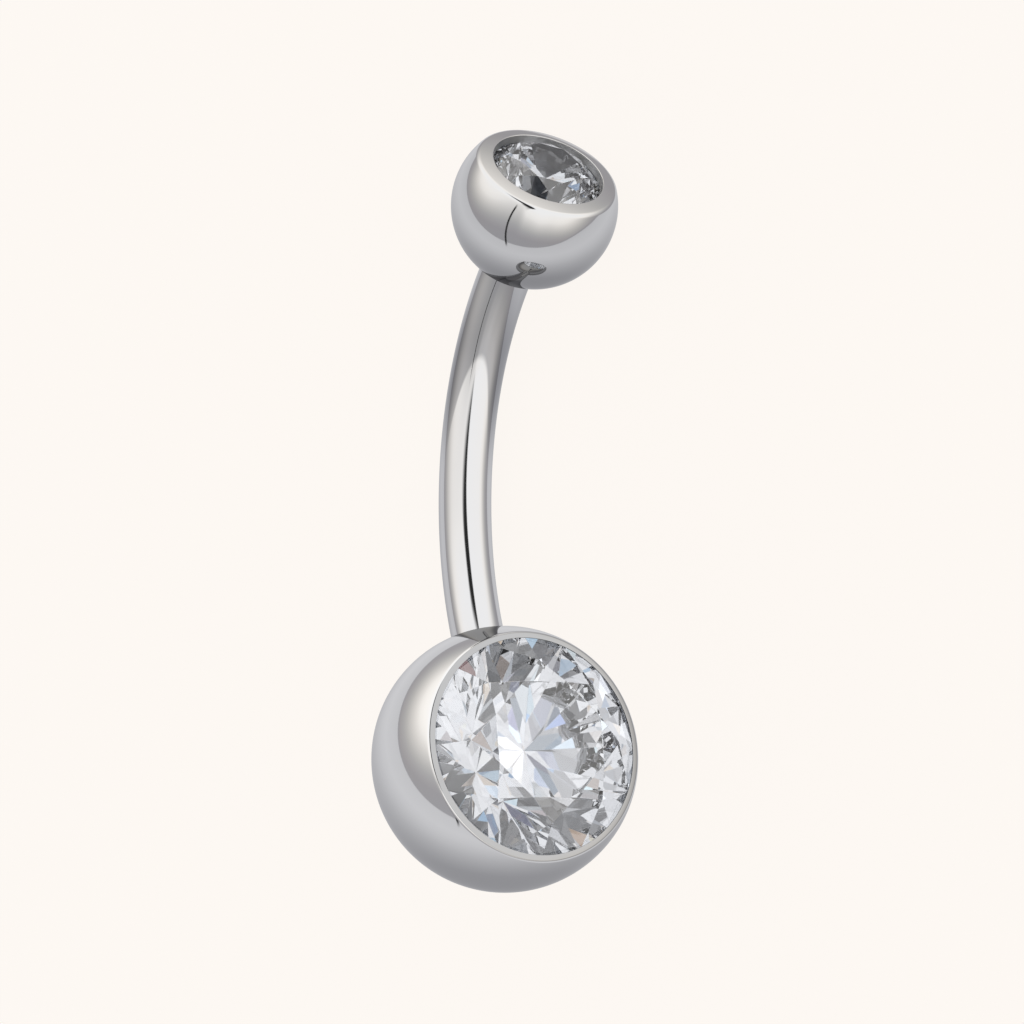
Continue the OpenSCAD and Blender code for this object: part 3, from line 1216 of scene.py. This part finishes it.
@dataclass(frozen=True)
class Tent:
    """What polished steel reflects: a warm tent over a cool grey surround.

    A height is measured from the tent's hem along its axis, and a side across it. The cloth's
    tone follows from its depth, which is the height with more added towards the flanks.
    """

    axis: Direction = (0.74, -0.282, 0.611)
    hem: float = -0.146
    across: Direction = (-0.356, -0.934, 0.0)
    hem_drop: float = 0.09
    hem_curve: float = -0.07
    hem_corner: float = -0.06
    corner_power: float = 6.0
    hem_edge: tuple[float, float] = (-0.02, 0.035)
    flank_depth: float = 0.25
    flank_gain: float = 0.8
    lift: float = 0.24
    lift_starts: tuple[float, float] = (0.05, 0.25)
    lift_ends: tuple[float, float] = (0.5, 0.8)
    under_hem: float = -0.02
    deepest: float = 1.2
    flank_tint: Colour = (1.02, 1.0, 0.975)
    seam_tone: Colour = (0.03, 0.03, 0.03)

    def tone(self, sheet: Sheet, depth: bpy.types.NodeSocket) -> bpy.types.NodeSocket:
        """Gives the colour of the cloth, or of the surround where the depth is negative."""
        ramp = sheet.add("ValToRGB")
        elements = ramp.color_ramp.elements
        while len(elements) < len(TENT_TONES):
            elements.new(0.5)
        for element, (at, colour) in zip(elements, TENT_TONES):
            element.position = at / self.deepest / 2 + 0.5
            element.color = (*colour, 1)
        sheet.put(ramp.inputs["Fac"], sheet.math("MULTIPLY_ADD", depth, 0.5 / self.deepest, 0.5))
        return ramp.outputs["Color"]

    def light(self, sheet: Sheet, direction: bpy.types.NodeSocket) -> bpy.types.NodeSocket:
        """Paints the tent on the sky.

        Args:
            sheet: The world's nodes.
            direction: Where the ray goes.

        Returns:
            The colour of the tent in that direction.
        """
        height = sheet.dot(direction, Vector(self.axis).normalized())
        height = sheet.math("SUBTRACT", height, self.hem)
        side = sheet.dot(direction, self.across)
        flank = sheet.math("MULTIPLY", side, side)
        corner = sheet.math("POWER", sheet.math("MAXIMUM", side, 0.0), self.corner_power)
        curve = sheet.math("MULTIPLY_ADD", flank, self.hem_curve, self.hem_drop)
        drop = sheet.math("MULTIPLY_ADD", corner, self.hem_corner, curve)
        inside = sheet.smooth(sheet.math("ADD", height, drop), *self.hem_edge)
        depth = sheet.math("MAXIMUM", height, 0.0)
        nearer = sheet.math("MULTIPLY_ADD", depth, self.flank_gain, self.flank_depth)
        lift = sheet.math("MULTIPLY", sheet.smooth(side, *self.lift_starts),
                          sheet.smooth(side, *self.lift_ends, self.lift, 0.0))
        lift = sheet.math("MULTIPLY", lift, depth)
        depth = sheet.math("ADD", sheet.math("MULTIPLY_ADD", flank, nearer, depth), lift)
        below = sheet.math("MINIMUM", height, self.under_hem)
        depth = sheet.math("MULTIPLY_ADD", inside, sheet.math("SUBTRACT", depth, below), below)
        warmth = sheet.math("MULTIPLY", flank, inside)
        seen = sheet.mix(warmth, self.tone(sheet, depth), self.flank_tint, "MULTIPLY")
        for seam in SEAMS:
            seen = sheet.mix(seam.mask(sheet, direction), seen, self.seam_tone)
        return seen


@dataclass(frozen=True)
class Studio:
    """Plain pale surface, soft tent and camera.

    The surface's light is its own for the card's glow, and reflected for the rest. Steel that is
    seen in steel is dimmed to a second glance. The stones' light is split into three colours by
    small turns about an axis, in radians. The camera's distance and target are in metres.
    """

    pale: Colour = (0.984, 0.940, 0.897)
    sky: Colour = (1.0, 1.0, 1.0)
    tent: Tent = Tent()
    second_glance: float = 0.35
    card_glow: float = 0.93
    sparkle_tint: Colour = (0.82, 0.835, 0.875)
    split_axis: Direction = (0.45, 0.75, 0.48)
    split_turns: Triple = (-0.02, 0.0, 0.02)
    surface_r: float = 0.16
    surface_steps: int = 96
    target: Triple = (-0.000014, 0.000203, 0.003085)
    back: Direction = (0.12800574, -0.36770961, 0.92108858)
    image_up: Direction = (0.99157271, 0.06613371, -0.11139971)
    distance: float = 0.24415
    pixels_per_mm: float = 33.3638
    frame_px: int = 1024
    sensor: float = 36.0

    def camera(self) -> bpy.types.Object:
        """Puts the camera at the photograph's angle, above the surface."""
        data = bpy.data.cameras.new("camera")
        data.sensor_width = self.sensor
        width = self.frame_px / self.pixels_per_mm * MM
        data.lens = self.sensor * self.distance / width
        data.clip_start, data.clip_end = 0.01, 2.0
        camera = bpy.data.objects.new("camera", data)
        back = Vector(self.back).normalized()
        across = Vector(self.image_up).cross(back).normalized()
        turn = Matrix((across, back.cross(across), back)).transposed()
        camera.matrix_world = (Matrix.Translation(Vector(self.target) + back * self.distance)
                               @ turn.to_4x4())
        bpy.context.scene.collection.objects.link(camera)
        bpy.context.scene.camera = camera
        return camera

    def surface(self) -> bpy.types.Object:
        """Lays the plain pale surface that the ring lies on."""
        bm = bmesh.new()
        bmesh.ops.create_circle(bm, cap_ends=True, radius=self.surface_r,
                                segments=self.surface_steps)
        mesh = bpy.data.meshes.new("pale_surface")
        bm.to_mesh(mesh)
        bm.free()
        floor = bpy.data.objects.new("pale_surface", mesh)
        bpy.context.scene.collection.objects.link(floor)
        made, _, shader = new_material("pale_card")
        lit = tuple(part * (1 - self.card_glow) for part in self.pale)
        shader.inputs["Base Color"].default_value = (*lit, 1)
        shader.inputs["Emission Color"].default_value = (*self.pale, 1)
        shader.inputs["Emission Strength"].default_value = self.card_glow
        shader.inputs["Roughness"].default_value = 1.0
        shader.inputs["Specular IOR Level"].default_value = 0.0
        mesh.materials.append(made)
        floor.visible_glossy = False
        floor.visible_transmission = False
        return floor

    def sparkle(self) -> bpy.types.NodeTree:
        """Lights that the stones pick up: soft boxes and dark flags over a pale ground.

        Returns:
            A group that reads a direction and gives the light there.
        """
        sheet, ins, outs = new_group("sparkle", [("Direction", "Vector", None)],
                                     [("Light", "Float")])
        light: object = SPARKLE_GROUND
        for patch in SPARKLES:
            inside = patch.mask(sheet, ins.outputs[0])
            kept = sheet.math("MULTIPLY", sheet.math("SUBTRACT", 1.0, inside), light)
            light = sheet.math("MULTIPLY_ADD", inside, patch.light, kept)
        sheet.put(outs.inputs["Light"], light)
        return sheet.tree

    def world(self) -> None:
        """Lights the scene, and shows each kind of ray its own part of the studio."""
        world = bpy.data.worlds.new("studio")
        bpy.context.scene.world = world
        world.use_nodes = True
        world.cycles.sampling_method = "NONE"
        sheet = Sheet(world.node_tree)
        direction = sheet.add("TexCoord").outputs["Generated"]
        path = sheet.add("LightPath").outputs
        seen = sheet.mix(path["Is Camera Ray"], self.sky, self.pale)
        # Steel seen in steel is a second glance, with a glossy depth of 2 or more
        again = sheet.math("GREATER_THAN", path["Glossy Depth"], 1.5)
        tent = sheet.mix(again, self.tent.light(sheet, direction), (self.second_glance,) * 3,
                         "MULTIPLY")
        seen = sheet.mix(path["Is Glossy Ray"], seen, tent)
        lights = self.sparkle()
        split = sheet.add("CombineColor")
        for channel, turn in enumerate(self.split_turns):
            shifted = sheet.add("VectorRotate", rotation_type="AXIS_ANGLE")
            sheet.put(shifted.inputs["Vector"], direction)
            shifted.inputs["Axis"].default_value = self.split_axis
            shifted.inputs["Angle"].default_value = turn
            sheet.put(split.inputs[channel],
                      sheet.group(lights, Direction=shifted.outputs["Vector"]).outputs[0])
        sparkle = sheet.mix(1.0, split.outputs["Color"], self.sparkle_tint, "MULTIPLY")
        seen = sheet.mix(path["Is Transmission Ray"], seen, sparkle)
        sheet.put(world.node_tree.nodes["Background"].inputs["Color"], seen)

    def settings(self) -> None:
        """Sets how light is traced and how colours are shown."""
        scene = bpy.context.scene
        scene.view_settings.view_transform = "Standard"
        scene.cycles.max_bounces = 24
        scene.cycles.glossy_bounces = 18
        scene.cycles.transmission_bounces = 18
        scene.cycles.diffuse_bounces = 2
        scene.cycles.blur_glossy = 0.0
        scene.cycles.use_denoising = True


# Depth in the tent, and the tone there
TENT_TONES = (
    (-1.15, (0.25, 0.25, 0.265)), (-0.8, (0.355, 0.355, 0.375)), (-0.6, (0.525, 0.525, 0.545)),
    (-0.5, (0.615, 0.615, 0.635)), (-0.4, (0.685, 0.685, 0.705)), (-0.3, (0.725, 0.725, 0.745)),
    (-0.1, (0.695, 0.695, 0.715)), (-0.02, (0.67, 0.67, 0.69)), (0.0, (0.415, 0.41, 0.43)),
    (0.2, (0.42, 0.41, 0.43)), (0.3, (0.455, 0.445, 0.46)), (0.4, (0.50, 0.495, 0.505)),
    (0.5, (0.575, 0.57, 0.565)), (0.6, (0.68, 0.67, 0.66)), (0.7, (0.80, 0.785, 0.765)),
    (0.8, (0.94, 0.92, 0.895)), (0.9, (1.10, 1.08, 1.05)), (1.0, (1.18, 1.16, 1.13)),
    (1.15, (1.2, 1.2, 1.2)),
)
SPARKLE_GROUND = 0.98
# Azimuth, elevation, radius, soft edge and light
SPARKLES = (
    Patch(-69, 50, 19, 2.5, 0.62),
    Patch(-63, 28, 8, 2, 1.35),
    Patch(-15, 78, 26, 3, 0.21),
    Patch(-66, 12, 9, 3, 1.6),
    Patch(165, 72, 6, 2, 0.75),
    Patch(0, 5, 22, 6, 0.25),
    Patch(-125, 8, 14, 5, 0.3),
)
SEAMS = (
    Seam(normal=(-0.501, -0.731, 0.463), offset=0.389, half_width=0.012,
         way=(-0.1, 0.7, 0.7), stops=(0.69, 0.76)),
    Seam(normal=(0.502, 0.14, 0.853), offset=0.872, half_width=0.047,
         way=(0.25, -0.95, 0.1), stops=(0.22, 0.47), softness=0.04),
)


def build_studio() -> None:
    """Makes the camera, the surface and the lights."""
    studio = Studio()
    studio.camera()
    studio.surface()
    studio.world()
    studio.settings()


def main() -> None:
    """Builds the ring's pieces in order."""
    logging.basicConfig(level=logging.INFO, format="%(name)s: %(message)s")
    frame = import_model()
    shop = Workshop.from_record(frame["record"], bend_r=9.9)
    build_studio()
    bar = CurvedBar()
    bar.build(shop)
    # Painted shade on the large ball's inner wall and on its narrow rim
    large = SetBall("lower_ball", "large_ball", Body.BARBELL, End.LOWER,
                    stone_lean=math.radians(105.5), ball_d=8.0, cut=2.065, rim_w=0.2,
                    rim_rise=0.055, rim_depth=0.04, rim_round=0.14, lip_edge=0.012,
                    hole_end=1.94357, side=LARGE_BALL_POLISH, rim=SHADED_NARROW_RIM_POLISH,
                    wall=PAINTED_SHADE_WALL, inside=PALE_SEAT)
    small = SetBall("upper_ball", "small_ball", Body.TOP_BALL, End.UPPER,
                    stone_lean=math.radians(-3.4), ball_d=5.0, cut=1.25, rim_w=0.445,
                    rim_rise=0.12, rim_depth=0.28, rim_round=0.2, lip_edge=0.03,
                    hole_end=1.03286, side=SMALL_BALL_POLISH, rim=BROAD_RIM_POLISH,
                    wall=WALL_SATIN, inside=GREY_SEAT, wall_flare=0.04,
                    thread_pitch=bar.thread_pitch)
    for ball, name, node, stone_turn in ((large, "lower_stone", "large_stone", 0.0),
                                         (small, "upper_stone", "small_stone", 22.5)):
        place, hole = ball.standing(shop)
        stone = ball.cut_stone(name, node)
        ball.build(shop, stone, place, hole)
        girdle = Matrix.Translation((0, 0, ball.girdle_z(stone)))
        stone.build(shop, place @ girdle @ Matrix.Rotation(math.radians(stone_turn), 4, "Z"))


if __name__ == "__main__":
    main()
